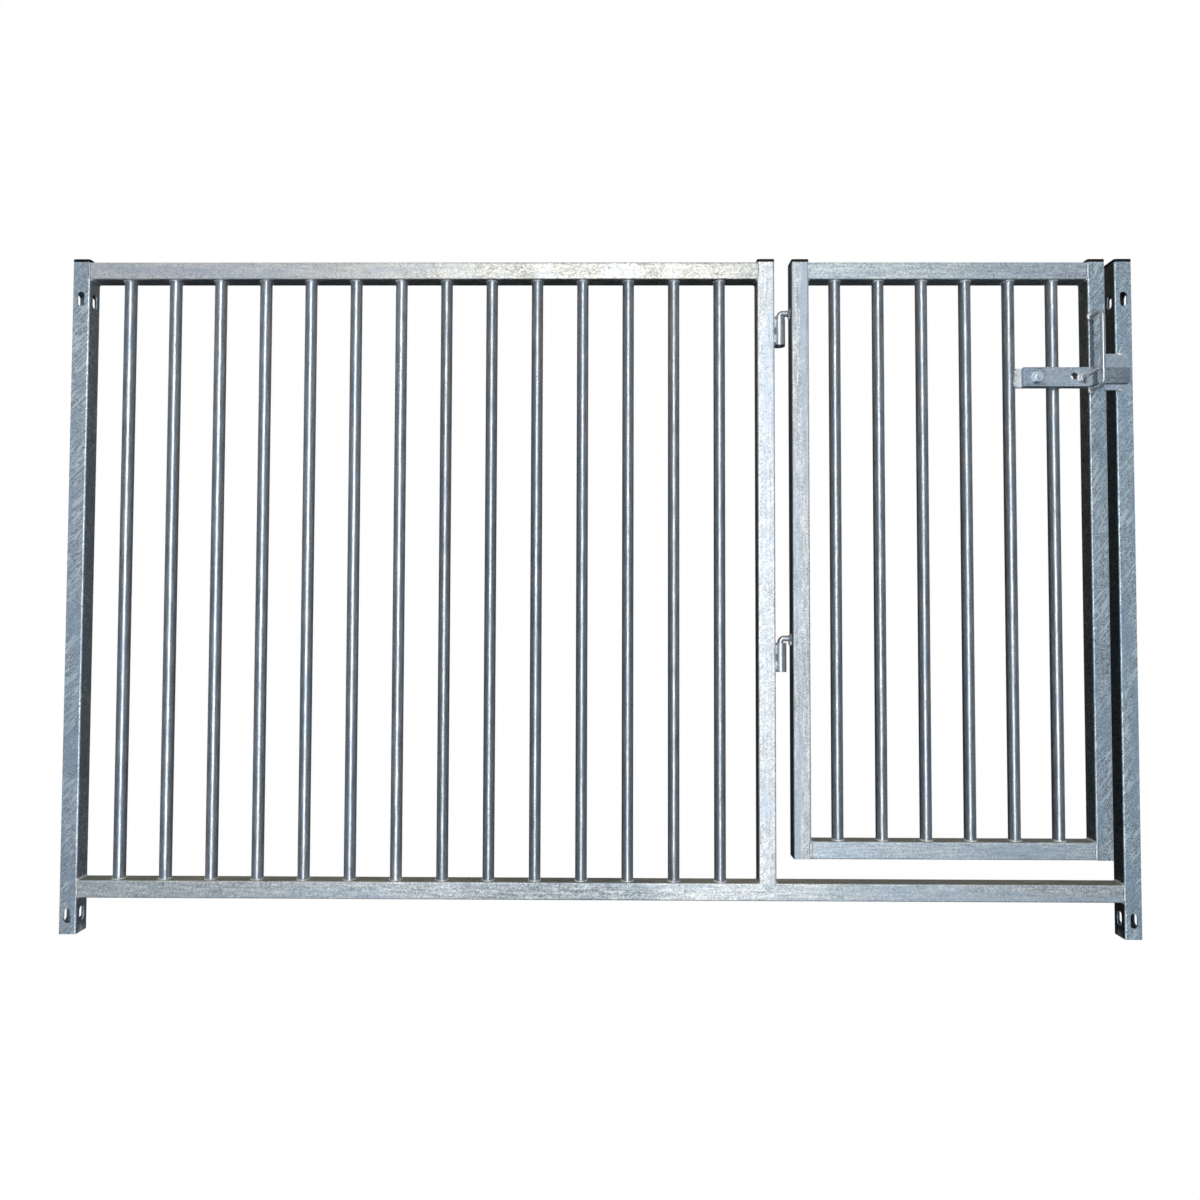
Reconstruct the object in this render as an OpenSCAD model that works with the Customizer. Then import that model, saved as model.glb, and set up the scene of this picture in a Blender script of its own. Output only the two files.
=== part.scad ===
// Galvanised bar panel with a built-in swing gate, lift latch and staple.
// Origin: centre of the left post's foot. +X runs along the panel towards the
// latch post, +Y points to the back, +Z is up. All sizes are in millimetres.

/* [Tubes] */
// Outside width of every square tube
tube_w = 30; // [20:1:50]
// Wall thickness of the square tubes
tube_wall = 2; // [1.5:0.1:4]
// Outer corner radius of the square tubes
tube_r = 3; // [2.1:0.1:6]
// Diameter of the round bars
bar_d = 20; // [12:1:30]
// Wall thickness of the round bars
bar_wall = 1.5; // [1:0.1:3]

/* [Panel] */
// Height of the posts without their caps
post_h = 1160; // [800:10:2400]
// Centre of the middle post
mid_x = 1193; // [800:1:2400]
// Centre of the right post, which the gate latches to
right_x = 1810; // [1400:1:3200]
// Underside of the bottom rail above the ground
rail_z = 61; // [20:1:150]
// Number of round bars in the fixed panel
panel_bars = 14; // [14:1:14]
// Pitch of the bars in the fixed panel
panel_pitch = 79.6; // [60:0.1:120]

/* [Gate] */
// Centre of the stile on the hinge side
hinge_stile_x = 1252.5; // [1220:0.5:2600]
// Centre of the stile on the latch side
latch_stile_x = 1764; // [1400:0.5:3100]
// Underside of the gate above the ground
gate_z = 132; // [80:1:250]
// How far the gate stands back, so that it clears the keeper
gate_back = 0.4; // [0.3:0.1:2]
// Number of round bars in the gate
gate_bars = 6; // [6:1:6]
// Pitch of the bars in the gate
gate_pitch = 75.7; // [60:0.1:120]
// Distance from the centre of the hinge stile to the first bar of the gate
gate_bar_gap = 63; // [45:0.5:90]

/* [Bolt slots] */
// Width of the slots in the two outer posts
slot_w = 12; // [9:0.5:14]
// Length of the slots
slot_l = 25; // [15:1:40]
// Height of the lower slots
slot_low_z = 31; // [20:1:40]
// Height of the upper slots
slot_high_z = 1095; // [700:1:1120]

/* [Hinges] */
// Outside diameter of the hinge barrels
barrel_d = 21; // [16:0.5:30]
// Length of the hinge barrels
barrel_l = 50; // [30:1:80]
// Bottom of the lower hinge barrel
barrel_low_z = 449; // [200:1:600]
// Bottom of the upper hinge barrel
barrel_high_z = 1017; // [700:1:1080]
// Diameter of the bent hinge pins
pin_d = 10; // [8:0.5:16]
// Gap all round between a pin and its barrel
pin_gap = 0.08; // [0.01:0.01:0.1]
// Bend radius of the pins, at the centre of the rod
pin_bend_r = 7; // [6:0.5:15]
// How far a pin stops above the bottom of its barrel
pin_short = 4; // [1:0.5:15]
// Gap from the top of a barrel to the start of the pin's bend
pin_lift = 0.5; // [0.3:0.1:3]
// Radius of the weld flare where a pin meets the stile
flare_r = 9; // [6:0.5:11]
// Length of the weld flare
flare_l = 5; // [3:0.5:8]

/* [Latch] */
// Centre of the latch arm's pivot along the panel
pivot_x = 1653; // [1640:1:1660]
// Height of the latch arm's pivot
pivot_z = 955; // [800:1:1000]
// Diameter of the pivot bolt
pivot_d = 10; // [8:0.5:12]
// Gap all round between the bolt and the latch arm
pivot_gap = 0.08; // [0.01:0.01:0.1]
// Left end of the latch arm
arm_x0 = 1632.5; // [1628:0.5:1640]
// Right end of the latch arm, in front of the right post
arm_x1 = 1814.5; // [1806:0.5:1820]
// Underside of the latch arm
arm_z0 = 940; // [930:0.5:946]
// Top edge of the latch arm
arm_z1 = 973; // [964:0.5:980]
// How much lower the arm's tongue is than the arm
tongue_step = 6; // [2:0.5:12]
// Thickness of the latch arm
arm_t = 5; // [3:0.5:8]
// Thickness of the plate that carries the arm
bracket_t = 6; // [4:0.5:10]
// Thickness of the washer between the plate and the arm
washer_t = 2.5; // [1.5:0.1:4]
// Play on each side of the arm on its pivot
arm_play = 0.2; // [0.1:0.05:0.5]
// Centre of the padlock hole
lock_x = 1718.7; // [1700:0.1:1725]
// Height of the padlock hole
lock_z = 957.5; // [950:0.1:965]
// Diameter of the padlock hole
lock_d = 12; // [8:0.5:14]
// Centre of the finger rod at the arm
rod_x = 1734.5; // [1728:0.1:1736]
// Height of the finger rod at the arm
rod_z = 956; // [945:0.5:965]
// Diameter of the finger rod
rod_d = 8; // [6:0.5:12]
// Length of the finger rod
rod_l = 47; // [25:1:70]
// Upward tilt of the finger rod
rod_tilt = 2; // [0:1:20]

/* [Staple and keeper] */
// Centre of the staple on the latch stile
staple_x = 1753; // [1746:0.5:1760]
// Height of the staple's lower leg
staple_z0 = 935.6; // [925:0.1:940]
// Height of the staple's upper leg
staple_z1 = 1063; // [1000:0.5:1090]
// Distance from the mid-plane to the staple's run
staple_out = 48; // [40:0.5:60]
// Diameter of the staple's rod
staple_d = 8; // [6:0.5:12]
// Bend radius of the staple, at the centre of the rod
staple_bend_r = 12; // [8:0.5:16]
// Left edge of the keeper plate
keeper_x0 = 1773.5; // [1765:0.5:1778]
// Width of the keeper plate
keeper_w = 40; // [30:1:50]
// Bottom of the keeper plate
keeper_z0 = 935; // [900:1:945]
// Height of the keeper plate
keeper_h = 63; // [40:1:80]
// Thickness of the keeper plate
keeper_t = 2.5; // [2:0.1:2.7]

/* [Caps] */
// Thickness of the caps above the tubes
cap_t = 5; // [2:0.5:8]
// Depth of a cap's plug inside the tube
plug_l = 14; // [8:1:25]
// Gap between a plug and the tube's wall
plug_gap = 0.1; // [0.05:0.05:0.5]

/* [Hidden] */
$fn = 64;
half = tube_w / 2;
overlap = 1;
rail_top = rail_z + tube_w;
rail_high = post_h - tube_w;
gate_rail_top = gate_z + tube_w;
panel_first = (mid_x - (panel_bars - 1) * panel_pitch) / 2;
gate_first = hinge_stile_x + gate_bar_gap;
bar_5_x = gate_first + (gate_bars - 2) * gate_pitch;
hinge_x = mid_x + half + barrel_d / 2;
stile_face_x = hinge_stile_x - half;
gate_front = gate_back - half;
bracket_back = gate_back - bar_d / 2;
bracket_front = bracket_back - bracket_t;
washer_front = bracket_front - washer_t;
arm_back = washer_front - arm_play;
arm_front = arm_back - arm_t;
nut_back = arm_front - arm_play;
nut_h = 8;
nut_af = 17;
head_h = 6.4;
bolt_stub = 3;
washer_r = 10;
hole_gap = 0.2;
bracket_start = 5;
bracket_x0 = bar_5_x + bracket_start;
bracket_x1 = latch_stile_x - half;
plate_r = 3;
tongue_r = 4;
tongue_x0 = 1741.5;
tongue_x1 = 1759.5;
tip_cut = 1;
six = 6;
zinc = [0.66, 0.69, 0.72];
zinc_dark = [0.52, 0.55, 0.59];
black = [0.05, 0.05, 0.055];

// ---- shared shapes ----

// A square with round corners, centred
module rounded_square(w, r) {
    square([w - 2 * r, w], center = true);
    square([w, w - 2 * r], center = true);
    for (sx = [-1, 1])
        for (sy = [-1, 1])
            translate([sx * (w / 2 - r), sy * (w / 2 - r)])
                circle(r);
}

// A rectangle with round corners, from the given corner
module rounded_plate(x0, z0, w, h, r) {
    translate([x0 + r, z0])
        square([w - 2 * r, h]);
    translate([x0, z0 + r])
        square([w, h - 2 * r]);
    for (x = [x0 + r, x0 + w - r])
        for (z = [z0 + r, z0 + h - r])
            translate([x, z])
                circle(r);
}

// Stands a flat outline in X and Z up, from the front plane backwards
module slab(front, thick) {
    translate([0, front + thick, 0])
        rotate([90, 0, 0])
            linear_extrude(thick)
                children();
}

// An upright square tube
module upright_tube(x, y, z0, z1) {
    translate([x, y, z0])
        difference() {
            linear_extrude(z1 - z0)
                rounded_square(tube_w, tube_r);
            translate([0, 0, -overlap])
                linear_extrude(z1 - z0 + 2 * overlap)
                    rounded_square(tube_w - 2 * tube_wall, tube_r - tube_wall);
        }
}

// A level square tube with its underside at z0
module level_tube(x0, x1, y, z0) {
    translate([x0, y, z0 + half])
        rotate([90, 0, 90])
            difference() {
                linear_extrude(x1 - x0)
                    rounded_square(tube_w, tube_r);
                translate([0, 0, -overlap])
                    linear_extrude(x1 - x0 + 2 * overlap)
                        rounded_square(tube_w - 2 * tube_wall, tube_r - tube_wall);
            }
}

// One upright slot outline, drawn about its centre
module slot_outline() {
    square([slot_w, slot_l - slot_w], center = true);
    for (s = [-1, 1])
        translate([0, s * (slot_l - slot_w) / 2])
            circle(slot_w / 2);
}

// The slots through one outer post, front to back and side to side
module post_slots(x) {
    for (z = [slot_low_z, slot_high_z])
        for (turn = [0, 90])
            translate([x, 0, z])
                rotate([90, 0, turn])
                    linear_extrude(2 * tube_w, center = true)
                        slot_outline();
}

module outer_post(x) {
    difference() {
        upright_tube(x, 0, 0, post_h);
        post_slots(x);
    }
}

// A round tube bar
module bar(x, y, z0, z1) {
    translate([x, y, z0])
        difference() {
            cylinder(h = z1 - z0, d = bar_d);
            translate([0, 0, -overlap])
                cylinder(h = z1 - z0 + 2 * overlap, d = bar_d - 2 * bar_wall);
        }
}

// A push-in cap with a hollow plug
module cap(x, y) {
    plug_w = tube_w - 2 * tube_wall - 2 * plug_gap;
    plug_r = tube_r - tube_wall;
    translate([x, y, post_h]) {
        linear_extrude(cap_t)
            rounded_square(tube_w, tube_r);
        translate([0, 0, -plug_l])
            difference() {
                linear_extrude(plug_l)
                    rounded_square(plug_w, plug_r);
                translate([0, 0, -overlap])
                    linear_extrude(plug_l)
                        square(plug_w - 2 * tube_wall, center = true);
            }
    }
}

// ---- fixed panel ----

module left_post() {
    color(zinc)
        outer_post(0);
}

module mid_post() {
    color(zinc)
        upright_tube(mid_x, 0, rail_top, post_h);
}

module right_post() {
    color(zinc)
        outer_post(right_x);
}

module top_rail() {
    color(zinc)
        level_tube(half, mid_x - half, 0, rail_high);
}

module bottom_rail() {
    color(zinc)
        level_tube(half, right_x - half, 0, rail_z);
}

// One bar of the fixed panel, counted from 1
module panel_bar(i) {
    color(zinc)
        bar(panel_first + (i - 1) * panel_pitch, 0, rail_top, rail_high);
}

module left_post_cap() {
    color(black)
        cap(0, 0);
}

module mid_post_cap() {
    color(black)
        cap(mid_x, 0);
}

module right_post_cap() {
    color(black)
        cap(right_x, 0);
}

module hinge_barrel(z) {
    color(zinc)
        translate([hinge_x, 0, z])
            difference() {
                cylinder(h = barrel_l, d = barrel_d);
                translate([0, 0, -overlap])
                    cylinder(h = barrel_l + 2 * overlap, d = pin_d + 2 * pin_gap);
            }
}

module hinge_barrel_bottom() {
    hinge_barrel(barrel_low_z);
}

module hinge_barrel_top() {
    hinge_barrel(barrel_high_z);
}

module keeper_plate() {
    color(zinc)
        slab(-half - keeper_t, keeper_t)
            rounded_plate(keeper_x0, keeper_z0, keeper_w, keeper_h, plate_r);
}

// ---- gate ----

module gate_hinge_stile() {
    color(zinc)
        upright_tube(hinge_stile_x, gate_back, gate_z, post_h);
}

module gate_latch_stile() {
    color(zinc)
        upright_tube(latch_stile_x, gate_back, gate_z, post_h);
}

module gate_top_rail() {
    color(zinc)
        level_tube(hinge_stile_x + half, latch_stile_x - half, gate_back, rail_high);
}

module gate_bottom_rail() {
    color(zinc)
        level_tube(hinge_stile_x + half, latch_stile_x - half, gate_back, gate_z);
}

// One bar of the gate, counted from 1
module gate_bar(i) {
    color(zinc)
        bar(gate_first + (i - 1) * gate_pitch, gate_back, gate_rail_top, rail_high);
}

module gate_hinge_cap() {
    color(black)
        cap(hinge_stile_x, gate_back);
}

module gate_latch_cap() {
    color(black)
        cap(latch_stile_x, gate_back);
}

// An L-bent pin that drops into a barrel, with its weld flare on the stile
module hinge_pin(barrel_z) {
    bend_z = barrel_z + barrel_l + pin_lift;
    leg_z = bend_z + pin_bend_r;
    leg_x = hinge_x + pin_bend_r;
    color(zinc) {
        translate([hinge_x, 0, barrel_z + pin_short])
            cylinder(h = bend_z - barrel_z - pin_short, d = pin_d);
        translate([leg_x, 0, bend_z])
            rotate([90, 0, 0])
                rotate([0, 0, 90])
                    rotate_extrude(angle = 90)
                        translate([pin_bend_r, 0])
                            circle(d = pin_d);
        translate([leg_x, 0, leg_z])
            rotate([0, 90, 0])
                cylinder(h = stile_face_x - leg_x, d = pin_d);
        translate([stile_face_x - flare_l, 0, leg_z])
            rotate([0, 90, 0])
                cylinder(h = flare_l, r1 = pin_d / 2, r2 = flare_r);
    }
}

module hinge_pin_bottom() {
    hinge_pin(barrel_low_z);
}

module hinge_pin_top() {
    hinge_pin(barrel_high_z);
}

// ---- latch ----

// A quarter bend of the staple, from the run to a leg
module staple_bend(z, flip) {
    translate([staple_x, -staple_out + staple_bend_r, z])
        rotate([0, 0, 90])
            rotate([90, 0, 0])
                rotate([0, 0, flip])
                    rotate_extrude(angle = 90)
                        translate([staple_bend_r, 0])
                            circle(d = staple_d);
}

module latch_staple() {
    leg_l = gate_front + staple_out - staple_bend_r;
    run_z0 = staple_z0 + staple_bend_r;
    run_z1 = staple_z1 - staple_bend_r;
    color(zinc) {
        for (z = [staple_z0, staple_z1])
            translate([staple_x, gate_front, z])
                rotate([90, 0, 0])
                    cylinder(h = leg_l, d = staple_d);
        staple_bend(run_z1, 90);
        staple_bend(run_z0, 180);
        translate([staple_x, -staple_out, run_z0])
            cylinder(h = run_z1 - run_z0, d = staple_d);
    }
}

module latch_bracket() {
    color(zinc)
        difference() {
            slab(bracket_front, bracket_t)
                translate([bracket_x0, arm_z0])
                    square([bracket_x1 - bracket_x0, arm_z1 - arm_z0]);
            slab(bracket_front - overlap, bracket_t + 2 * overlap)
                translate([pivot_x, pivot_z])
                    circle(d = pivot_d + 2 * hole_gap);
            slab(bracket_front - overlap, bracket_t + 2 * overlap)
                translate([lock_x, lock_z])
                    circle(d = lock_d);
        }
}

module pivot_bolt() {
    shank = bracket_back - nut_back + nut_h + bolt_stub;
    color(zinc_dark)
        translate([pivot_x, bracket_back, pivot_z])
            rotate([90, 0, 0]) {
                cylinder(h = shank - tip_cut, d = pivot_d);
                translate([0, 0, shank - tip_cut])
                    cylinder(h = tip_cut, d1 = pivot_d, d2 = pivot_d - 2 * tip_cut);
                translate([0, 0, -head_h])
                    cylinder(h = head_h, d = nut_af / cos(180 / six), $fn = six);
            }
}

module pivot_washer() {
    color(zinc_dark)
        slab(washer_front, washer_t)
            translate([pivot_x, pivot_z])
                difference() {
                    circle(washer_r);
                    circle(d = pivot_d + 2 * hole_gap);
                }
}

module pivot_nut() {
    color(zinc_dark)
        slab(nut_back - nut_h, nut_h)
            translate([pivot_x, pivot_z])
                difference() {
                    circle(d = nut_af / cos(180 / six), $fn = six);
                    circle(d = pivot_d + 2 * pivot_gap);
                }
}

// The outline of the arm, with its lower tongue at the right
module arm_outline() {
    tongue_z = arm_z0 + tongue_step;
    polygon([
        [arm_x0, arm_z0],
        [tongue_x0, arm_z0],
        [tongue_x1, tongue_z],
        [arm_x1 - tongue_r, tongue_z],
        [arm_x1 - tongue_r, tongue_z + tongue_r],
        [arm_x1, tongue_z + tongue_r],
        [arm_x1, arm_z1],
        [arm_x0, arm_z1]
    ]);
    translate([arm_x1 - tongue_r, tongue_z + tongue_r])
        circle(tongue_r);
}

module latch_arm() {
    color(zinc)
        slab(arm_front, arm_t)
            difference() {
                arm_outline();
                translate([pivot_x, pivot_z])
                    circle(d = pivot_d + 2 * pivot_gap);
                translate([lock_x, lock_z])
                    circle(d = lock_d);
            }
}

module finger_rod() {
    color(zinc)
        difference() {
            translate([rod_x, arm_front + overlap, rod_z])
                rotate([90 - rod_tilt, 0, 0]) {
                    cylinder(h = rod_l - tip_cut, d = rod_d);
                    translate([0, 0, rod_l - tip_cut])
                        cylinder(h = tip_cut, d1 = rod_d, d2 = rod_d - 2 * tip_cut);
                }
            translate([rod_x - rod_d, arm_front, rod_z - 2 * rod_d])
                cube([2 * rod_d, arm_t, 4 * rod_d]);
        }
}

// ---- what is drawn ----

left_post();
mid_post();
right_post();
top_rail();
bottom_rail();
panel_bar(1);  // panel_bar_01
panel_bar(2);  // panel_bar_02
panel_bar(3);  // panel_bar_03
panel_bar(4);  // panel_bar_04
panel_bar(5);  // panel_bar_05
panel_bar(6);  // panel_bar_06
panel_bar(7);  // panel_bar_07
panel_bar(8);  // panel_bar_08
panel_bar(9);  // panel_bar_09
panel_bar(10);  // panel_bar_10
panel_bar(11);  // panel_bar_11
panel_bar(12);  // panel_bar_12
panel_bar(13);  // panel_bar_13
panel_bar(14);  // panel_bar_14
left_post_cap();
mid_post_cap();
right_post_cap();
hinge_barrel_bottom();
hinge_barrel_top();
keeper_plate();
gate_hinge_stile();
gate_latch_stile();
gate_top_rail();
gate_bottom_rail();
gate_bar(1);  // gate_bar_1
gate_bar(2);  // gate_bar_2
gate_bar(3);  // gate_bar_3
gate_bar(4);  // gate_bar_4
gate_bar(5);  // gate_bar_5
gate_bar(6);  // gate_bar_6
gate_hinge_cap();
gate_latch_cap();
hinge_pin_bottom();
hinge_pin_top();
latch_staple();
latch_bracket();
pivot_bolt();
pivot_washer();
pivot_nut();
latch_arm();
finger_rod();
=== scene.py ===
"""Looks for the galvanised panel with its built-in swing gate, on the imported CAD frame."""

import math
import random

import bpy
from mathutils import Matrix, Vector, noise


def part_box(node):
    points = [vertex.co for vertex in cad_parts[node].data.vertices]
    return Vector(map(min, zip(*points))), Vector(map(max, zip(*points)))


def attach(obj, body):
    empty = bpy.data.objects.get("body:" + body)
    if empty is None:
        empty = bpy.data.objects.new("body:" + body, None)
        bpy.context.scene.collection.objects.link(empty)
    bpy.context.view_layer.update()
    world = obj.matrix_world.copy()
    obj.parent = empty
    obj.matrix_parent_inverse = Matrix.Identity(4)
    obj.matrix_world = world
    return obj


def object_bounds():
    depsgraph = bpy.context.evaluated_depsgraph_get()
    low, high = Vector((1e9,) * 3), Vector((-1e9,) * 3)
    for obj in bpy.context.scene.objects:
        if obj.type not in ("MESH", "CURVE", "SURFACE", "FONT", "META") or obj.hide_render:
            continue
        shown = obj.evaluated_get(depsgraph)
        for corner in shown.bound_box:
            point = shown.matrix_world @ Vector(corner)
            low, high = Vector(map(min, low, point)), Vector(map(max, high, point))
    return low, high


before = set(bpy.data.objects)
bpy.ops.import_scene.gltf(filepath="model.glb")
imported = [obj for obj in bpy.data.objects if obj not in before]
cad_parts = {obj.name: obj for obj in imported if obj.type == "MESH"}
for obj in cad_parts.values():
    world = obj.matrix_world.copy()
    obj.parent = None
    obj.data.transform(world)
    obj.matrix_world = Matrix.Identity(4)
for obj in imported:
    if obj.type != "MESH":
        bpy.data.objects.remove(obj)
cad_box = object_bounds()

MM = 0.001


# ---------------------------------------------------------------- places
def lo(node):
    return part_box(node)[0]


def hi(node):
    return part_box(node)[1]


def mid(node):
    low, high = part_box(node)
    return (Vector(low) + Vector(high)) / 2


# ---------------------------------------------------------------- materials
class Graph:
    """A small builder for one material's nodes."""

    def __init__(self, name):
        self.mat = bpy.data.materials.new(name)
        self.mat.use_nodes = True
        self.tree = self.mat.node_tree
        self.tree.nodes.clear()
        self.out = self.add("ShaderNodeOutputMaterial")
        self.shader = self.add("ShaderNodeBsdfPrincipled")
        self.link(self.shader.outputs[0], self.out.inputs[0])
        self.place = self.add("ShaderNodeTexCoord").outputs["Object"]

    def add(self, kind, **values):
        node = self.tree.nodes.new(kind)
        for key, value in values.items():
            setattr(node, key, value)
        return node

    def link(self, a, b):
        self.tree.links.new(a, b)

    def put(self, socket, value):
        if hasattr(value, "is_linked"):
            self.link(value, socket)
        else:
            socket.default_value = value

    def mapped(self, scale=(1, 1, 1), turn=(0, 0, 0), shift=(0, 0, 0)):
        """Object coordinates turned, then multiplied by scale."""
        node = self.add("ShaderNodeMapping", vector_type="TEXTURE")
        self.link(self.place, node.inputs["Vector"])
        node.inputs["Scale"].default_value = [1 / k for k in scale]
        node.inputs["Rotation"].default_value = turn
        node.inputs["Location"].default_value = shift
        return node.outputs[0]

    def noise(self, where, scale, detail=3.0, rough=0.5, warp=0.0):
        node = self.add("ShaderNodeTexNoise")
        self.link(where, node.inputs["Vector"])
        node.inputs["Scale"].default_value = scale
        node.inputs["Detail"].default_value = detail
        node.inputs["Roughness"].default_value = rough
        node.inputs["Distortion"].default_value = warp
        return node.outputs["Fac"]

    def cells(self, where, scale):
        """A value from 0 to 1 for each cell."""
        node = self.add("ShaderNodeTexVoronoi")
        self.link(where, node.inputs["Vector"])
        node.inputs["Scale"].default_value = scale
        split = self.add("ShaderNodeSeparateColor")
        self.link(node.outputs["Color"], split.inputs[0])
        return split.outputs[0]

    def math(self, op, a, b=0.0):
        node = self.add("ShaderNodeMath", operation=op)
        self.put(node.inputs[0], a)
        self.put(node.inputs[1], b)
        return node.outputs[0]

    def span(self, value, start, end, low=0.0, high=1.0):
        """low where value is start, high where it is end, and clamped beyond them."""
        node = self.add("ShaderNodeMapRange")
        self.link(value, node.inputs["Value"])
        for name, number in (("From Min", start), ("From Max", end), ("To Min", low), ("To Max", high)):
            node.inputs[name].default_value = number
        return node.outputs[0]

    def mix(self, fac, a, b, blend="MIX"):
        node = self.add("ShaderNodeMix", data_type="RGBA", blend_type=blend)
        self.put(node.inputs["Factor"], fac)
        self.put(node.inputs[6], a)
        self.put(node.inputs[7], b)
        return node.outputs[2]

    def ramp(self, value, stops):
        node = self.add("ShaderNodeValToRGB")
        self.link(value, node.inputs[0])
        points = node.color_ramp.elements
        while len(points) < len(stops):
            points.new(0.5)
        for point, (at, colour) in zip(points, stops):
            point.position = at
            point.color = (*colour, 1.0)
        return node.outputs[0]

    def bump(self, height, strength, distance):
        node = self.add("ShaderNodeBump")
        self.link(height, node.inputs["Height"])
        node.inputs["Strength"].default_value = strength
        node.inputs["Distance"].default_value = distance
        self.link(node.outputs[0], self.shader.inputs["Normal"])

    def wisps(self, where, scale, width, detail=1.0, warp=0.0):
        """Thin lines along the middle level of a noise."""
        level = self.noise(where, scale, detail, 0.5, warp)
        return self.span(self.apart(level, 0.5), 0.0, width, 1.0, 0.0)

    def apart(self, a, b):
        """How far a is from b, either way."""
        return self.math("ABSOLUTE", self.math("SUBTRACT", a, b))

    def scaled(self, value, amount):
        return self.math("MULTIPLY", value, amount)

    def swing(self, value, amount):
        """amount either way about the middle of a value that runs from 0 to 1."""
        node = self.add("ShaderNodeMath", operation="MULTIPLY_ADD")
        self.link(value, node.inputs[0])
        node.inputs[1].default_value = amount
        node.inputs[2].default_value = -amount / 2
        return node.outputs[0]

    def total(self, parts):
        value = parts[0]
        for part in parts[1:]:
            value = self.math("ADD", value, part)
        return value


ZINC_DARK = (0.17, 0.20, 0.235)
ZINC_MID = (0.465, 0.515, 0.565)
ZINC_LIGHT = (0.84, 0.875, 0.91)
ZINC_BLUE = (0.375, 0.465, 0.58)
STAIN_COLOUR = (0.27, 0.25, 0.22, 1.0)
CREAM = (1.0, 0.94, 0.85, 1.0)
# The brownish tint of the painted shade on upper faces.
TOP_SHADE_TINT = (1.0, 0.94, 0.80)

# Texture scales: how many features of each kind fit in a metre, roughly.
FINE_SCALE, SPANGLE_SCALE, LINE_SCALE = 420.0, 300.0, 260.0
STAIN_SCALE, SCRATCH_SCALE, WISP_SCALE = 150.0, 120.0, 110.0
PATCH_SCALE, CLOUD_SCALE = 42.0, 18.0
LINE_STRETCH, SCRATCH_STRETCH, STAIN_STRETCH = 0.08, 0.14, 0.6

FACING = (0.75, 0.97)  # a face turns into a side or a top between these parts of its normal
ROUNDED = (0.985, 0.90)  # and into a rounded corner, painted lighter as a highlight, between these
VEE_REACH, VEE_END, VEE_DEPTH, VEE_RAGGED = 0.013, 0.0165, 0.16, 0.008


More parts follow.
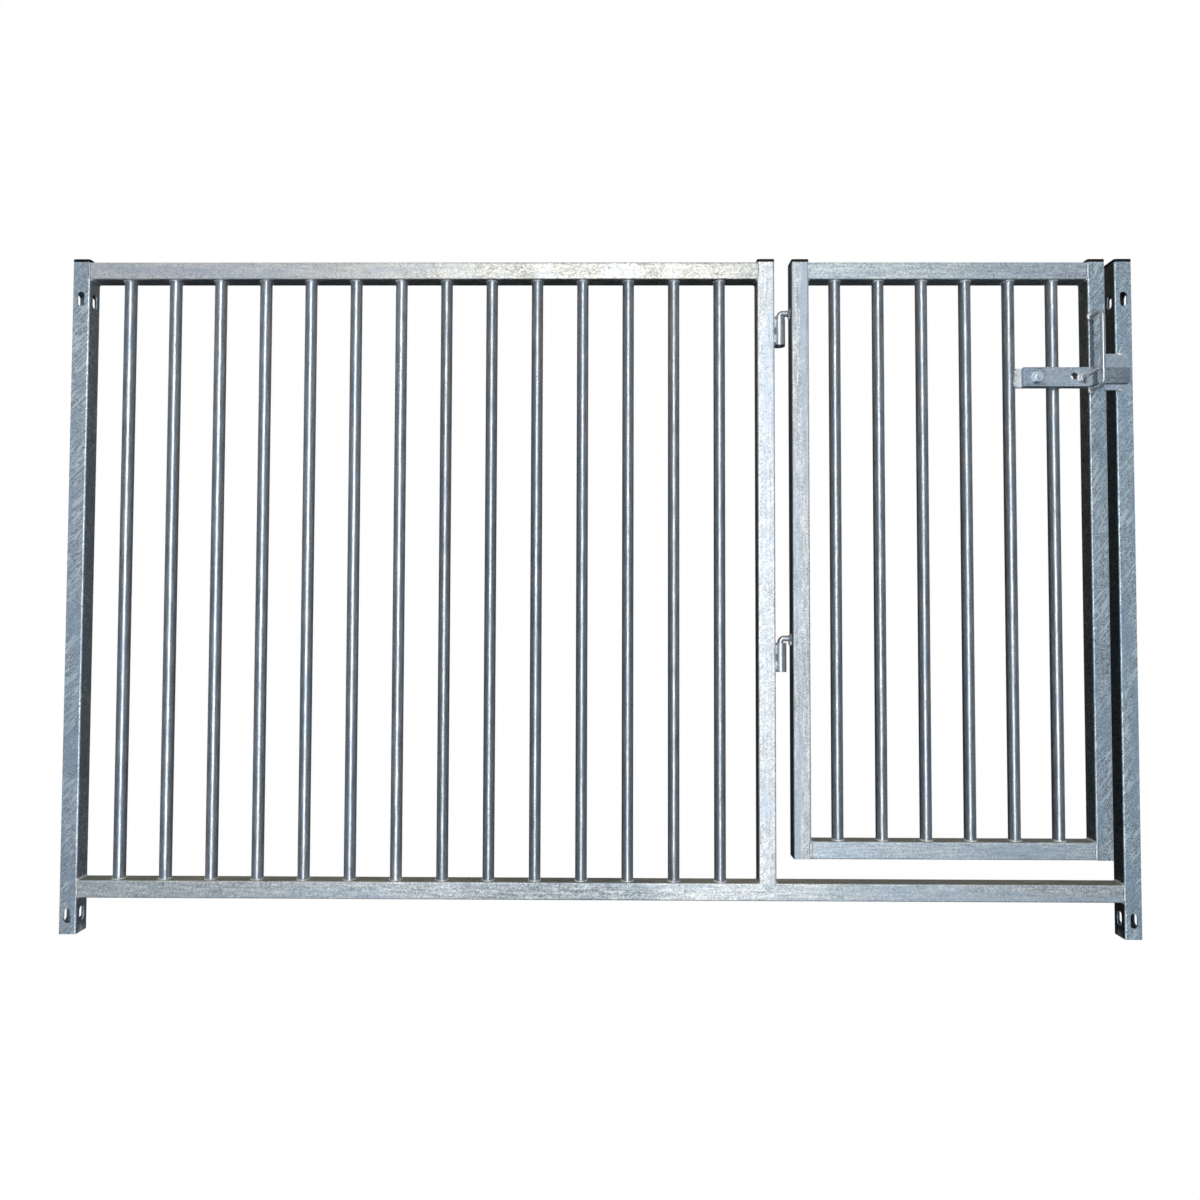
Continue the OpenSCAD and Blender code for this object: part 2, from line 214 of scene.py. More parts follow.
def zinc(name, along, grain=1.0, cloud=0.22, streak=0.5, wisp=0.14, scratch=0.0, lean=0.8, cross=0.0,
         stain=0.0, warm=None, deep=(), vee=None, edge=0.12, blue=0.4, drawn_out=0.16, relief=0.16,
         side=0.55, inward=-1, top=0.62, rough=(0.42, 0.58), metal=0.55, shade=(1.0, 1.0, 1.0), seed=0):
    """Hot-dip zinc.

    grain: fine spangle; cloud: wide soft patches; streak: drawn lines along the piece; wisp: thin curling
    light lines; scratch: straight light scratches that lean by the angle lean, with cross more of them the
    other way; stain: thin brownish marks; warm: (from, to) along X where the zinc turns creamy; deep: places
    along X, as (centre, half width, by how much, width of the change), where painted shade makes it darker,
    a negative amount painting a lighter highlight instead; vee: (x, z) of the middle of the top of a dull
    patch that narrows downwards; edge: how much lighter the rounded corners are painted, a painted highlight;
    blue: share of bluish patches; drawn_out: how a patch is scaled along the piece, less than 1 being longer;
    relief: strength of the bump; side: how light the side faces are painted beside the front, a painted
    shade; inward: the way they face along X; top: the same painted shade, tinted brownish, for the upper
    faces; rough: roughness of the lightest and of the darkest zinc; metal: how metallic it is; shade: what
    the colours are multiplied by, partly the zinc's own colour and partly painted light and shade.
    """
    g = Graph(name)
    shift = (seed * 0.37, seed * 0.61, seed * 0.23)
    flat = g.mapped(shift=shift)

    def stretched(amount):
        return g.mapped(scale=tuple(amount if i == along else 1.0 for i in range(3)), shift=shift)

    fine = g.noise(flat, FINE_SCALE, 3.0, 0.65)
    grains = g.cells(flat, SPANGLE_SCALE)
    clouds = g.noise(flat, CLOUD_SCALE, 4.0, 0.6, 0.4)
    patch = g.noise(stretched(drawn_out), PATCH_SCALE, 3.0, 0.55, 0.5)
    parts = [
        g.swing(fine, 1.2 * grain), g.swing(grains, 0.16 * grain), g.swing(clouds, cloud),
        g.swing(g.noise(stretched(LINE_STRETCH), LINE_SCALE, 3.0, 0.6), streak),
        g.scaled(g.wisps(flat, WISP_SCALE, 0.035, 2.0, 0.6), wisp),
    ]
    for amount, turn in ((scratch, -lean), (cross, lean)):
        if amount:
            leaning = g.mapped(scale=(SCRATCH_STRETCH, 1.0, 1.0), turn=(0.0, turn, 0.0), shift=shift)
            lines = g.wisps(leaning, SCRATCH_SCALE, 0.04)
            where = g.span(g.noise(flat, 14.0, 2.0, 0.5), 0.36, 0.52)
            parts.append(g.scaled(g.math("MULTIPLY", lines, where), amount))
    axis = g.add("ShaderNodeSeparateXYZ")
    g.link(g.place, axis.inputs[0])
    # Painted light along X: darker places are painted shade, and a negative amount paints a lighter
    # highlight.
    for centre, reach, amount, change in deep:
        gap = g.apart(axis.outputs["X"], centre)
        parts.append(g.span(gap, reach, reach + change, -amount, 0.0))
    if vee:
        gap = g.apart(axis.outputs["X"], vee[0])
        drop = g.math("SUBTRACT", vee[1], axis.outputs["Z"])
        ragged = g.swing(clouds, VEE_RAGGED)
        parts.append(g.span(g.total([gap, drop, ragged]), VEE_REACH, VEE_END, -VEE_DEPTH, 0.0))
    tone = g.math("ADD", g.total(parts), 0.5 - 0.08 * wisp)
    own = g.add("ShaderNodeVectorTransform", vector_type="NORMAL", convert_from="WORLD", convert_to="OBJECT")
    g.link(g.add("ShaderNodeNewGeometry").outputs["True Normal"], own.inputs[0])
    split = g.add("ShaderNodeSeparateXYZ")
    g.link(own.outputs[0], split.inputs[0])
    # Rounded corners are painted lighter than the flat faces: a painted highlight.
    if edge:
        shares = [g.math("ABSOLUTE", split.outputs[i]) for i in range(3)]
        squarely = g.math("MAXIMUM", g.math("MAXIMUM", shares[0], shares[1]), shares[2])
        tone = g.math("ADD", tone, g.span(squarely, *ROUNDED, 0.0, edge))
    dark, middle, light, bluish = (
        tuple(min(c * k, 1.0) for c, k in zip(colour, shade))
        for colour in (ZINC_DARK, ZINC_MID, ZINC_LIGHT, ZINC_BLUE)
    )
    colour = g.ramp(tone, ((0.08, dark), (0.5, middle), (0.92, light)))
    colour = g.mix(g.span(patch, 0.46, 0.64, 0.0, blue), colour, (*bluish, 1.0))
    if stain:
        marks = g.wisps(g.mapped(scale=(STAIN_STRETCH, 1.0, 1.0), shift=shift), STAIN_SCALE, 0.05, 3.0, 1.2)
        where = g.span(g.noise(flat, 24.0, 3.0, 0.6), 0.46, 0.54)
        marks = g.scaled(g.math("MULTIPLY", marks, where), stain)
        if warm:
            marks = g.math("MULTIPLY", marks, g.span(axis.outputs["X"], *warm, 0.2, 1.0))
        colour = g.mix(marks, colour, STAIN_COLOUR)
    if warm:
        creamy = g.mix(1.0, colour, CREAM, "MULTIPLY")
        colour = g.mix(g.span(axis.outputs["X"], *warm), colour, creamy)
    # Side faces that turn the inward way are painted darker than the front: a painted shade.
    if side < 1.0:
        sideways = g.scaled(split.outputs["X"], inward)
        side_painted_shade = g.mix(1.0, colour, (side, side, side, 1.0), "MULTIPLY")
        colour = g.mix(g.span(sideways, *FACING), colour, side_painted_shade)
    # Upper faces are painted darker and tinted brownish: a painted shade.
    if top < 1.0:
        top_painted_shade = g.mix(1.0, colour, (*(top * part for part in TOP_SHADE_TINT), 1.0), "MULTIPLY")
        colour = g.mix(g.span(split.outputs["Z"], *FACING), colour, top_painted_shade)
    g.link(colour, g.shader.inputs["Base Color"])
    g.shader.inputs["Metallic"].default_value = metal
    g.link(g.span(tone, 0.15, 0.85, rough[1], rough[0]), g.shader.inputs["Roughness"])
    height = g.total([g.scaled(clouds, 0.5), g.scaled(grains, 0.3), g.scaled(fine, 0.4 * grain)])
    g.bump(height, relief, 0.0004)
    return g.mat


def weld_zinc(name):
    """Zinc over a weld bead: brighter, glossier and lumpy."""
    g = Graph(name)
    flat = g.mapped(shift=(0.0, 0.1, 0.7))
    lumps = g.noise(flat, 260.0, 4.0, 0.65, 0.5)
    fine = g.noise(flat, 900.0, 2.0, 0.6)
    colour = g.ramp(lumps, ((0.3, (0.40, 0.43, 0.46)), (0.5, (0.66, 0.69, 0.72)), (0.7, (0.90, 0.92, 0.93))))
    g.link(colour, g.shader.inputs["Base Color"])
    g.shader.inputs["Metallic"].default_value = 0.5
    g.link(g.span(fine, 0.3, 0.7, 0.42, 0.58), g.shader.inputs["Roughness"])
    g.bump(lumps, 0.3, 0.0006)
    return g.mat


def cap_plastic(name):
    """Matt black moulded plastic with a fine spark-eroded grain and a little dust."""
    g = Graph(name)
    flat = g.mapped()
    grain = g.noise(flat, 1500.0, 2.0, 0.6)
    dust = g.noise(flat, 60.0, 4.0, 0.6)
    colour = g.mix(g.span(dust, 0.5, 0.75, 0.0, 0.35), (0.004, 0.004, 0.005, 1.0), (0.014, 0.014, 0.015, 1.0))
    g.link(colour, g.shader.inputs["Base Color"])
    g.link(g.span(grain, 0.3, 0.7, 0.48, 0.66), g.shader.inputs["Roughness"])
    g.shader.inputs["Specular IOR Level"].default_value = 0.25
    g.bump(grain, 0.25, 0.0002)
    return g.mat


ACROSS, UPRIGHT = 0, 2
vee_at = (mid("mid_post").x, lo("mid_post")[2])
far_left, far_right = cad_box[0][0], cad_box[1][0]
# Each tube's shade is partly its zinc's own colour and partly painted light: lighter and darker copies of one
# zinc for how brightly each tube is lit. Their deep places are painted highlight and shade along the tube.
tubes = {
    "left_post": zinc(
        "zinc_left_post", UPRIGHT, grain=1.3, scratch=0.8, blue=0.5, side=0.62, inward=1,
        shade=(0.95, 1.04, 1.11), seed=1),
    "mid_post": zinc(
        "zinc_mid_post", UPRIGHT, grain=1.0, scratch=0.25, cloud=0.16, streak=0.7, stain=0.35, blue=0.5,
        drawn_out=0.08, rough=(0.38, 0.5), shade=(1.25, 1.25, 1.25), seed=2),
    "right_post": zinc(
        "zinc_right_post", UPRIGHT, grain=2.1, cloud=0.3, scratch=0.9, lean=0.9, cross=0.1, blue=0.6,
        side=0.24, shade=(0.79, 0.91, 0.98), seed=3),
    "gate_hinge_stile": zinc(
        "zinc_hinge_stile", UPRIGHT, grain=1.2, cloud=0.14, streak=1.0, scratch=0.15, blue=0.8,
        drawn_out=0.04, side=0.4, seed=4),
    "gate_latch_stile": zinc(
        "zinc_latch_stile", UPRIGHT, grain=2.1, cloud=0.3, scratch=1.5, lean=1.0, cross=0.15, blue=0.5,
        side=0.45, shade=(0.74, 0.84, 0.91), seed=5),
    "top_rail": zinc(
        "zinc_top_rail", ACROSS, grain=1.1, cloud=0.12, streak=0.6, stain=1.0, warm=(0.25, 0.75),
        deep=((far_left, 0.45, -0.17, 0.4),), rough=(0.38, 0.52), shade=(1.22, 1.23, 1.24), seed=6),
    "bottom_rail": zinc(
        "zinc_bottom_rail", ACROSS, grain=1.2, streak=1.0, wisp=0.1, stain=0.35, vee=vee_at, blue=0.45,
        drawn_out=0.05, rough=(0.52, 0.68), shade=(1.15, 1.18, 1.19), seed=7,
        deep=((far_right - 0.98, 0.04, 0.17, 0.2), (vee_at[0], 0.04, -0.14, 0.2),
              (far_right, 0.06, 0.1, 0.12))),
    "gate_top_rail": zinc(
        "zinc_gate_top_rail", ACROSS, grain=1.3, streak=0.8, deep=((far_right, 0.12, 0.1, 0.15),),
        shade=(1.10, 1.14, 1.16), seed=8),
    "gate_bottom_rail": zinc(
        "zinc_gate_bottom_rail", ACROSS, grain=1.2, streak=0.9, shade=(1.11, 1.18, 1.25), seed=9),
}
# Lit and shaded copies of the bars' zinc, one for each third of the width, the left third lightest: painted
# light.
BAR_SHADES = (1.0, 0.78, 0.80)
bars_mat = [
    zinc(f"zinc_bar_{i}", UPRIGHT, grain=0.6, cloud=0.2, streak=1.1, wisp=0.0, edge=0.0, relief=0.03,
         side=1.0, top=1.0, rough=(0.345, 0.375), metal=0.75, shade=(0.97 * k, k, 1.03 * k), seed=10 + i)
    for i, k in enumerate(BAR_SHADES)
]
# The arm is painted darker in a ring round the nut and over its tongue: painted shade round the nut and the
# staple's painted shadow on the tongue.
nut_x = mid("pivot_nut").x
tongue_x = hi("latch_arm")[0]
fitting = zinc(
    "zinc_fitting", ACROSS, cloud=0.3, deep=((nut_x, 0.0125, 0.26, 0.008), (tongue_x, 0.044, 0.36, 0.012)),
    rough=(0.40, 0.54), shade=(0.99, 1.05, 1.12), seed=14)
plate = zinc(
    "zinc_plate", ACROSS, grain=0.7, scratch=0.3, rough=(0.42, 0.56), metal=0.45, shade=(1.45, 1.49, 1.52),
    seed=15)
keeper_mat = zinc(
    "zinc_keeper", ACROSS, grain=0.9, scratch=0.3, rough=(0.42, 0.56), shade=(0.93, 1.0, 1.08), seed=19)
rod_mat = zinc(
    "zinc_rod", UPRIGHT, grain=0.4, cloud=0.2, streak=0.3, wisp=0.0, edge=0.0, relief=0.06, side=1.0,
    rough=(0.34, 0.40), shade=(1.1, 1.1, 1.1), metal=0.75, seed=16)
# The bolt, nut and washer are painted much lighter than the arm: partly their own zinc, partly a painted
# highlight.
bolt_mat = zinc(
    "zinc_bolt", ACROSS, grain=0.5, cloud=0.2, streak=0.2, wisp=0.0, edge=0.0, relief=0.06, side=1.0,
    rough=(0.26, 0.36), metal=0.55, shade=(1.7, 1.7, 1.7), seed=17)
# Dark lines beside the front seams: partly flux left at the welds' toes, partly painted shade in the crease.
toe_flux_and_shade_mat = zinc(
    "zinc_weld_toe", UPRIGHT, grain=0.5, wisp=0.0, shade=(0.30, 0.31, 0.33), rough=(0.6, 0.7), seed=18)
weld = weld_zinc("zinc_weld")
plastic = cap_plastic("black_cap_plastic")

PAINT = {
    **tubes,
    "hinge_barrel_bottom": rod_mat, "hinge_barrel_top": rod_mat,
    "hinge_pin_bottom": rod_mat, "hinge_pin_top": rod_mat,
    "latch_staple": rod_mat, "finger_rod": rod_mat,
    "latch_bracket": plate, "keeper_plate": keeper_mat, "latch_arm": fitting,
    "pivot_bolt": bolt_mat, "pivot_nut": bolt_mat, "pivot_washer": bolt_mat,
}


def paint(obj, material):
    obj.data.materials.clear()
    obj.data.materials.append(material)


for name, obj in sorted(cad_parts.items()):
    if name.endswith("_cap"):
        paint(obj, plastic)
    # Each bar takes the copy for its third of the width: painted light.
    elif "_bar_" in name:
        share = (mid(name).x - far_left) / (far_right - far_left)
        paint(obj, bars_mat[min(int(share * len(bars_mat)), len(bars_mat) - 1)])
    else:
        paint(obj, PAINT[name])


def soften(node, width):
    """Rounds a plate's sharp edges a little, as the zinc does."""
    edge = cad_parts[node].modifiers.new("soft_edges", "BEVEL")
    edge.width = width
    edge.segments = 2
    edge.limit_method = "ANGLE"
    edge.angle_limit = math.radians(40)


for node in ("latch_arm", "latch_bracket", "keeper_plate"):
    soften(node, 0.9 * MM)
soften("pivot_nut", 0.35 * MM)
for node in [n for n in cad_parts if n.endswith("_cap")]:
    soften(node, 0.4 * MM)


# ---------------------------------------------------------------- weld beads
def new_piece(name, verts, faces, material, body):
    mesh = bpy.data.meshes.new(name)
    mesh.from_pydata(verts, [], faces)
    mesh.validate()
    mesh.update()
    mesh.shade_smooth()
    obj = bpy.data.objects.new(name, mesh)
    bpy.context.scene.collection.objects.link(obj)
    paint(obj, material)
    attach(obj, body)


class Beads:
    """Collects weld beads, each a rippled, uneven tube along a path, into one piece."""

    def __init__(self, seed):
        self.verts, self.faces = [], []
        self.random = random.Random(seed)

    def run(self, path, width, height, up, ripple=0.16, pitch=2.6 * MM, closed=False, sides=10, bulges=()):
        """path: points; width and height: half sizes across the bead; up: the way its crown points at each
        point, or one direction for all; bulges: (share of the path, extra size, reach) for blobs."""
        offset = Vector([self.random.uniform(-50, 50) for _ in range(3)])
        start = len(self.verts)
        count = len(path)
        travelled = 0.0
        total = sum((path[(i + 1) % count] - path[i]).length for i in range(count if closed else count - 1))
        for i, point in enumerate(path):
            before = path[i - 1] if i or closed else path[0]
            after = path[(i + 1) % count] if i < count - 1 or closed else path[-1]
            ahead = (after - before).normalized()
            crown = (up[i] if isinstance(up, list) else up).normalized()
            side = ahead.cross(crown).normalized()
            if i:
                travelled += (point - path[i - 1]).length
            share = travelled / total
            lump = 1.0 + ripple * math.sin(2 * math.pi * travelled / pitch)
            lump += 0.22 * noise.noise(offset + point * 260)
            for at, extra, reach in bulges:
                gap = abs(share - at)
                if closed:
                    gap = min(gap, 1 - gap)
                lump += extra * math.exp(-(gap / reach) ** 2)
            if not closed:
                ends = min(travelled, total - travelled) / (1.2 * width)
                lump *= max(0.25, math.sqrt(min(1.0, max(ends, 0.0))))
            for s in range(sides):
                turn = 2 * math.pi * s / sides
                grain = 1.0 + 0.09 * noise.noise(offset + point * 700 + Vector((s, 0, 0)))
                self.verts.append(
                    point
                    + side * (math.cos(turn) * width * lump * grain)
                    + crown * (math.sin(turn) * height * lump * grain)
                )
        rings = count if closed else count - 1
        for i in range(rings):
            a, b = start + i * sides, start + ((i + 1) % count) * sides
            for s in range(sides):
                t = (s + 1) % sides
                self.faces.append((a + s, a + t, b + t, b + s))
        if not closed:
            self.faces.append(tuple(start + s for s in reversed(range(sides))))
            self.faces.append(tuple(start + (count - 1) * sides + s for s in range(sides)))

    def line(self, a, b, width, height, up, wander=0.35 * MM, step=0.8 * MM, **more):
        """A straight bead from a to b that wanders a little from side to side."""
        a, b = Vector(a), Vector(b)
        count = max(6, int((b - a).length / step))
        side = (b - a).normalized().cross(up.normalized())
        sway = self.random.uniform(-50, 50)
        path = [
            a.lerp(b, i / (count - 1)) + side * (wander * noise.noise(Vector((sway, i * 0.35, 0))))
            for i in range(count)
        ]
        self.run(path, width, height, up, **more)

    def collar(self, centre, radius, width, height, flip, lead, steps=44, **more):
        """A bead round an upright bar where it meets a rail. flip is +1 on top of a rail and -1 under one."""
        path, crowns = [], []
        for i in range(steps):
            turn = lead + 2 * math.pi * i / steps
            out = Vector((math.cos(turn), math.sin(turn), 0))
            path.append(Vector(centre) + out * radius)
            crowns.append(out * 0.7 + Vector((0, 0, 0.7 * flip)))
        self.run(path, width, height, crowns, closed=True, **more)

    def ring(self, centre, radius, width, height, steps, lead=0.0, lean=(0.7, 0.7), **more):
        """A bead round a rod that stands out of a front face. lean: how far its crown leans out and
        forwards."""
        path, crowns = [], []
        for i in range(steps):
            turn = lead + 2 * math.pi * i / steps
            out = Vector((math.cos(turn), 0, math.sin(turn)))
            path.append(Vector(centre) + out * radius)
            crowns.append(out * lean[0] + FRONT * lean[1])
        self.run(path, width, height, crowns, closed=True, **more)

    def blob(self, centre, size, stretch, rings=7, sides=12):
        """A lone lump of weld metal."""
        offset = Vector([self.random.uniform(-50, 50) for _ in range(3)])
        start = len(self.verts)
        centre = Vector(centre)
        for i in range(rings + 1):
            tilt = math.pi * (i + 0.001) / (rings + 0.002)
            for s in range(sides):
                turn = 2 * math.pi * s / sides
                level = math.sin(tilt)
                way = Vector((level * math.cos(turn), level * math.sin(turn), math.cos(tilt)))
                reach = size * (1 + 0.28 * noise.noise(offset + way * 1.6))
                self.verts.append(centre + Vector(w * k * reach for w, k in zip(way, stretch)))
        for i in range(rings):
            a, b = start + i * sides, start + (i + 1) * sides
            for s in range(sides):
                t = (s + 1) % sides
                self.faces.append((a + s, b + s, b + t, a + t))

    def piece(self, name, body, material=weld):
        new_piece(name, self.verts, self.faces, material, body)


FRONT, BACK = Vector((0, -1, 0)), Vector((0, 1, 0))
UP, DOWN = Vector((0, 0, 1)), Vector((0, 0, -1))
LEFT, RIGHT = Vector((-1, 0, 0)), Vector((1, 0, 0))
BACK_Y = cad_box[1][1] - 0.75 * MM  # middle of a bead on the back, so that its crown stays in the CAD box
SEAM = 1.0 * MM  # how far a seam's middle lies from the post's corner
INSET = 2.2 * MM  # how far a seam stops short of the tube's own corners
SUNK = 0.35 * MM  # how deep a front seam's middle lies in the steel
ROD_R = 4 * MM  # radius of the staple's rod and of the finger rod


def joint(beads, toes, x, node, toward, top, low_side, width=1.2 * MM, height=0.6 * MM, **more):
    """The beads round the end of a level tube, node, on a post's face at x. toward is the way from the post
    to the tube; top and low_side say whether there is an inner corner above and below it, or both are flush
    there."""
    low, high = Vector(lo(node)), Vector(hi(node))
    foot, head = low.z + INSET, high.z - INSET
    seam = x - toward.x * SEAM
    beads.line((seam, low.y + SUNK, foot), (seam, low.y + SUNK, head), width, height, FRONT, **more)
    # Dark lines along both sides of the front seam: partly flux at the toes, partly painted shade in the
    # crease.
    toe_y = low.y + 0.12 * MM
    for way in (-1, 1):
        toe_x = seam + way * (width + 0.25 * MM)
        toes.line((toe_x, toe_y, foot), (toe_x, toe_y, head), 0.45 * MM, 0.3 * MM, FRONT, wander=0.5 * MM)
    beads.line((seam, BACK_Y, foot), (seam, BACK_Y, head), 2.2 * MM, 0.5 * MM, BACK)
    for z, way, inner in ((low.z, DOWN, low_side), (high.z, UP, top)):
        if inner:
            corner = Vector((x, 0, z)) + (way + toward) * (0.3 * MM)
            beads.line((corner.x, low.y + 1.2 * MM, corner.z), (corner.x, high.y - 1.6 * MM, corner.z),
                       3.4 * MM, 2.2 * MM, (way + toward).normalized(), wander=0.5 * MM)
        else:
            flush = z - way.z * 0.4 * MM
            beads.line((seam, low.y + INSET, flush), (seam, high.y - INSET, flush), 1.6 * MM, 0.6 * MM, way)


panel, panel_toes = Beads(1), Beads(3)
joint(panel, panel_toes, hi("left_post")[0], "top_rail", RIGHT, False, True)
joint(panel, panel_toes, lo("mid_post")[0], "top_rail", LEFT, False, True)
joint(panel, panel_toes, hi("left_post")[0], "bottom_rail", RIGHT, True, True,
      2.3 * MM, 0.9 * MM, wander=0.9 * MM)
joint(panel, panel_toes, lo("right_post")[0], "bottom_rail", LEFT, True, True,
      2.0 * MM, 0.9 * MM, wander=0.8 * MM)
foot_low, foot_high = Vector(lo("mid_post")), Vector(hi("mid_post"))
for y, way, wide in ((foot_low.y + 0.2 * MM, FRONT, 1.1 * MM), (BACK_Y, BACK, 1.6 * MM)):
    panel.line((foot_low.x + 1.5 * MM, y, foot_low.z), (foot_high.x - 1.5 * MM, y, foot_low.z),
               wide, 0.5 * MM, way)
for x, way in ((foot_low.x, LEFT), (foot_high.x, RIGHT)):
    panel.line((x, foot_low.y + 2 * MM, foot_low.z), (x, foot_high.y - 2 * MM, foot_low.z),
               2.8 * MM, 1.9 * MM, (way + UP).normalized())
panel.piece("panel_frame_welds", "panel")
panel_toes.piece("panel_weld_toes", "panel", toe_flux_and_shade_mat)

gate, gate_toes = Beads(2), Beads(4)
joint(gate, gate_toes, hi("gate_hinge_stile")[0], "gate_top_rail", RIGHT, False, True)
joint(gate, gate_toes, lo("gate_latch_stile")[0], "gate_top_rail", LEFT, False, True,
      1.8 * MM, 1.3 * MM, wander=0.9 * MM)
joint(gate, gate_toes, hi("gate_hinge_stile")[0], "gate_bottom_rail", RIGHT, True, False, 2.3 * MM, 0.5 * MM)
joint(gate, gate_toes, lo("gate_latch_stile")[0], "gate_bottom_rail", LEFT, True, False, 2.0 * MM, 0.8 * MM)
gate.piece("gate_frame_welds", "gate")
gate_toes.piece("gate_weld_toes", "gate", toe_flux_and_shade_mat)


def bar_welds(body, seed):
    """A bead round both ends of every bar of a body, with a thicker start on its left."""
    bars = [node for node in sorted(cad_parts) if node.startswith(f"{body}_bar_")]
    for word, corner, flip in (("top", 1, -1), ("bottom", 0, 1)):
        beads = Beads(seed + corner)
        for bar in bars:
            centre = mid(bar)
            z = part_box(bar)[corner][2] + flip * 0.5 * MM
            lead = beads.random.uniform(0, 2 * math.pi)
            blob_at = (math.radians(beads.random.uniform(185, 225)) - lead) / (2 * math.pi) % 1.0
            size = beads.random.uniform(0.35, 0.75)
            beads.collar((centre.x, centre.y, z), 10.2 * MM, 1.5 * MM, 1.2 * MM, flip, lead,
                         bulges=((blob_at, size, 0.06),))
        beads.piece(f"{body}_bar_welds_{word}", body)


bar_welds("panel", 10)
bar_welds("gate", 20)


# ---------------------------------------------------------------- welds on the fittings
def panel_fittings():
    """The hinge barrels on the middle post and the keeper plate on the right post."""
    beads = Beads(30)
    x = hi("mid_post")[0] + 1.9 * MM
    for barrel in ("hinge_barrel_bottom", "hinge_barrel_top"):
        low, high = Vector(lo(barrel)), Vector(hi(barrel))
        tall = high.z - low.z
        for y, way in ((-8.0 * MM, FRONT), (8.0 * MM, BACK)):
            for start, end in ((0.06, 0.40), (0.58, 0.95)):
                beads.line((x, y, low.z + start * tall), (x, y, low.z + end * tall), 2.9 * MM, 2.6 * MM,
                           (way + RIGHT * 0.3).normalized(), wander=0.8 * MM, ripple=0.28, pitch=6 * MM)
    low, high = Vector(lo("keeper_plate")), Vector(hi("keeper_plate"))
    middle = (low.y + high.y) / 2
    start = lo("right_post")[0] + 1 * MM
    for z, way, end in ((high.z, UP, high.x - 4 * MM), (low.z, DOWN, high.x - 5 * MM)):
        beads.line((start, middle + 0.6 * MM, z), (end, middle + 0.6 * MM, z), 2.2 * MM, 1.8 * MM,
                   (way + FRONT * 0.7).normalized(), wander=0.9 * MM, ripple=0.22, pitch=4 * MM,
                   bulges=((0.35, 0.5, 0.2),))
    y = middle + 0.7 * MM
    beads.line((high.x, y, low.z + 5 * MM), (high.x, y, high.z - 5 * MM), 1.5 * MM, 1.1 * MM,
               (RIGHT + FRONT * 0.6).normalized())
    beads.piece("panel_fitting_welds", "panel")


def gate_fittings():
    """The staple, the ends of the bracket plate and the hinge pins' flares, on the gate."""
    beads = Beads(31)
    face = lo("gate_latch_stile")[1] - 0.3 * MM
    low, high = Vector(lo("latch_staple")), Vector(hi("latch_staple"))
    for z, lead in ((high.z - ROD_R, 1.9), (low.z + ROD_R, -1.9)):
        beads.ring((mid("latch_staple").x, face, z), ROD_R + 0.5 * MM, 1.9 * MM, 1.6 * MM, 30, lead,
                   bulges=((0.02, 0.9, 0.1),))
    low, high = Vector(lo("latch_bracket")), Vector(hi("latch_bracket"))
    x, y = low.x - 0.2 * MM, low.y + 3.6 * MM
    beads.line((x, y, low.z + 1 * MM), (x, y, high.z - 1 * MM), 3.6 * MM, 3.2 * MM,
               (LEFT + FRONT).normalized(), wander=1.4 * MM, ripple=0.25, pitch=5.5 * MM)
    flare_r = 9 * MM
    for pin, drop, size in (("hinge_pin_bottom", 8.0 * MM, 4.6 * MM), ("hinge_pin_top", 6.5 * MM, 3.2 * MM)):
        flare = Vector(hi(pin))
        beads.blob((flare.x - 1.4 * MM, 0, flare.z - flare_r - drop), size, (0.75, 1.2, 1.25))
    bar_x, y = mid("gate_bar_6").x, high.y - 0.6 * MM
    for z, way in ((high.z, UP), (low.z, DOWN)):
        beads.line((bar_x - 7 * MM, y, z), (bar_x + 7 * MM, y, z), 2.0 * MM, 1.6 * MM,
                   (way + FRONT).normalized())
    x, y = high.x - 0.4 * MM, low.y + 1.0 * MM
    beads.line((x, y, low.z + 2 * MM), (x, y, high.z - 2 * MM), 1.6 * MM, 1.2 * MM,
               (LEFT + FRONT).normalized())
    beads.piece("gate_fitting_welds", "gate")


def latch_fittings():
    """The finger rod's root on the arm, and the rounded rim of its tip."""
    beads = Beads(32)
    low, high = Vector(lo("finger_rod")), Vector(hi("finger_rod"))
    x, face, z = (low.x + high.x) / 2, lo("latch_arm")[1], low.z + ROD_R
    beads.ring((x, face - 0.3 * MM, z), ROD_R + 0.9 * MM, 2.3 * MM, 1.9 * MM, 36, lean=(0.6, 0.8),
               ripple=0.1, bulges=((0.5, 0.5, 0.12), (0.75, 0.3, 0.1)))
    beads.blob((x - 5.0 * MM, face + 0.3 * MM, z - 1.0 * MM), 6.6 * MM, (1.0, 0.24, 1.15))
    beads.ring((x, low.y + 1.6 * MM, high.z - ROD_R), ROD_R - 0.7 * MM, 0.9 * MM, 0.8 * MM, 32, ripple=0.05)
    beads.piece("finger_rod_weld", "latch")


panel_fittings()
gate_fittings()
latch_fittings()


# ---------------------------------------------------------------- stage, light, camera
def shade_graph(owner, kind):
    """Empties an owner's node tree and returns it with its output node."""
    owner.use_nodes = True
    tree = owner.node_tree
    tree.nodes.clear()
    return tree, tree.nodes.new(kind)


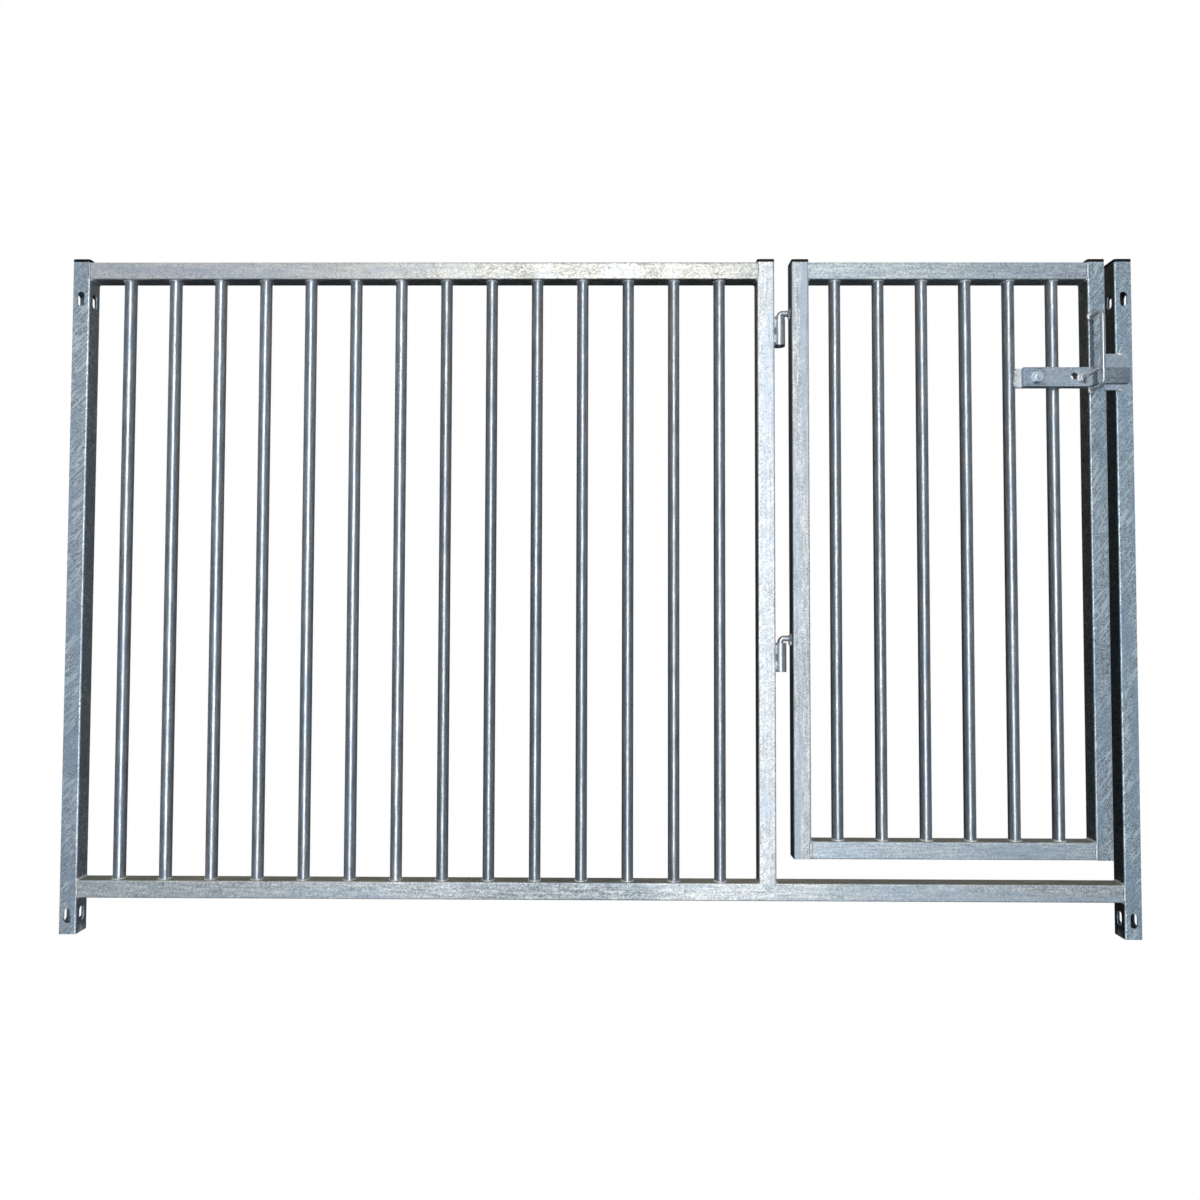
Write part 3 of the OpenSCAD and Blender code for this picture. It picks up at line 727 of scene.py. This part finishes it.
# The floor is seen, but it takes no light and gives none.
FLOOR_SIZE = 14.0
WHITE = (1, 1, 1, 1)
half = FLOOR_SIZE / 2
corners = [(-half, -half, 0), (half, -half, 0), (half, half, 0), (-half, half, 0)]
floor_mesh = bpy.data.meshes.new("floor")
floor_mesh.from_pydata(corners, [], [(0, 1, 2, 3)])
floor = bpy.data.objects.new("floor", floor_mesh)
floor.location = (mid("bottom_rail").x, 0, 0)
bpy.context.scene.collection.objects.link(floor)
paper = bpy.data.materials.new("pale_floor")
tree, out = shade_graph(paper, "ShaderNodeOutputMaterial")
seen = tree.nodes.new("ShaderNodeEmission")
seen.inputs["Color"].default_value = WHITE
tree.links.new(seen.outputs[0], out.inputs[0])
paint(floor, paper)
for kind in ("diffuse", "glossy", "transmission", "shadow"):
    setattr(floor, "visible_" + kind, False)

world = bpy.data.worlds.new("studio")
bpy.context.scene.world = world
tree, out = shade_graph(world, "ShaderNodeOutputWorld")
place = tree.nodes.new("ShaderNodeTexCoord")
split = tree.nodes.new("ShaderNodeSeparateXYZ")
tree.links.new(place.outputs["Generated"], split.inputs[0])


def sky_share(axis, start, end):
    node = tree.nodes.new("ShaderNodeMapRange")
    node.interpolation_type = "SMOOTHSTEP"
    node.inputs["From Min"].default_value = start
    node.inputs["From Max"].default_value = end
    tree.links.new(split.outputs[axis], node.inputs["Value"])
    return node.outputs[0]


def sky_mix(share, a, b):
    node = tree.nodes.new("ShaderNodeMix")
    node.data_type = "RGBA"
    tree.links.new(share, node.inputs["Factor"])
    for socket, value in ((node.inputs[6], a), (node.inputs[7], b)):
        if hasattr(value, "is_linked"):
            tree.links.new(value, socket)
        else:
            socket.default_value = (*value, 1)
    return node.outputs[2]


# What the steel reflects and is lit by all round: dark behind, brownish above, bluish in front.
BLACK, DARK_GREY = (0.0, 0.0, 0.0), (0.02, 0.021, 0.018)
BROWNISH, BLUISH = (0.20, 0.155, 0.10), (0.065, 0.09, 0.115)
behind = sky_mix(sky_share("X", -0.3, 0.6), BLACK, DARK_GREY)
behind = sky_mix(sky_share("Z", 0.12, 0.45), behind, BROWNISH)
room = sky_mix(sky_share("Y", -0.25, -0.9), behind, BLUISH)
soft = tree.nodes.new("ShaderNodeBackground")
tree.links.new(room, soft.inputs["Color"])
white = tree.nodes.new("ShaderNodeBackground")
white.inputs["Color"].default_value = WHITE
rays = tree.nodes.new("ShaderNodeLightPath")
blend = tree.nodes.new("ShaderNodeMixShader")
tree.links.new(rays.outputs["Is Camera Ray"], blend.inputs[0])
tree.links.new(soft.outputs[0], blend.inputs[1])
tree.links.new(white.outputs[0], blend.inputs[2])
tree.links.new(blend.outputs[0], out.inputs[0])


def softbox(name, place, aim, size, power, colour, diffuse=True, glossy=True):
    lamp = bpy.data.lights.new(name, "AREA")
    lamp.shape = "RECTANGLE"
    lamp.size, lamp.size_y = size
    lamp.energy = power
    lamp.color = colour
    obj = bpy.data.objects.new(name, lamp)
    obj.location = place
    obj.rotation_euler = (Vector(aim) - Vector(place)).to_track_quat("-Z", "Y").to_euler()
    obj.visible_diffuse = diffuse
    obj.visible_glossy = glossy
    bpy.context.scene.collection.objects.link(obj)


WARM_LIGHT, KEY_LIGHT, COOL_LIGHT = (1.0, 0.965, 0.91), (0.965, 0.985, 1.0), (0.94, 0.97, 1.0)
MIDDLE = (0.9, 0.0, 0.6)
softbox("key", (1.5, -6.0, 2.2), (0.95, 0.0, 0.6), (0.5, 0.5), 366.0, KEY_LIGHT, glossy=False)
softbox("strip", (0.98, -2.7, 0.85), (0.98, 0.0, 0.7), (0.6, 4.2), 76.0, WARM_LIGHT, diffuse=False)
softbox("back_fill", (0.9, 40.0, 2.6), MIDDLE, (10.0, 10.0), 21000.0, COOL_LIGHT, glossy=False)
# These lie in the panel's own plane, so at rest they reach the outer faces of its end posts.
for word, x in (("left", -30.0), ("right", 32.0)):
    softbox(f"{word}_end_fill", (x, 0.0, 0.6), MIDDLE, (0.15, 0.15), 8000.0, COOL_LIGHT, glossy=False)

bpy.context.scene.view_settings.view_transform = "Standard"
bpy.context.scene.view_settings.look = "None"

CAMERA_PLACE = (0.9160, -1.3877, 0.5307)
CAMERA_TURN = (91.715, -0.157, 0.383)  # degrees about X, Y and Z
lens = bpy.data.cameras.new("photo_camera")
lens.sensor_width = 36.0
lens.lens = 24.0
lens.clip_start = 0.05
camera = bpy.data.objects.new("photo_camera", lens)
camera.location = CAMERA_PLACE
camera.rotation_euler = [math.radians(angle) for angle in CAMERA_TURN]
bpy.context.scene.collection.objects.link(camera)
bpy.context.scene.camera = camera
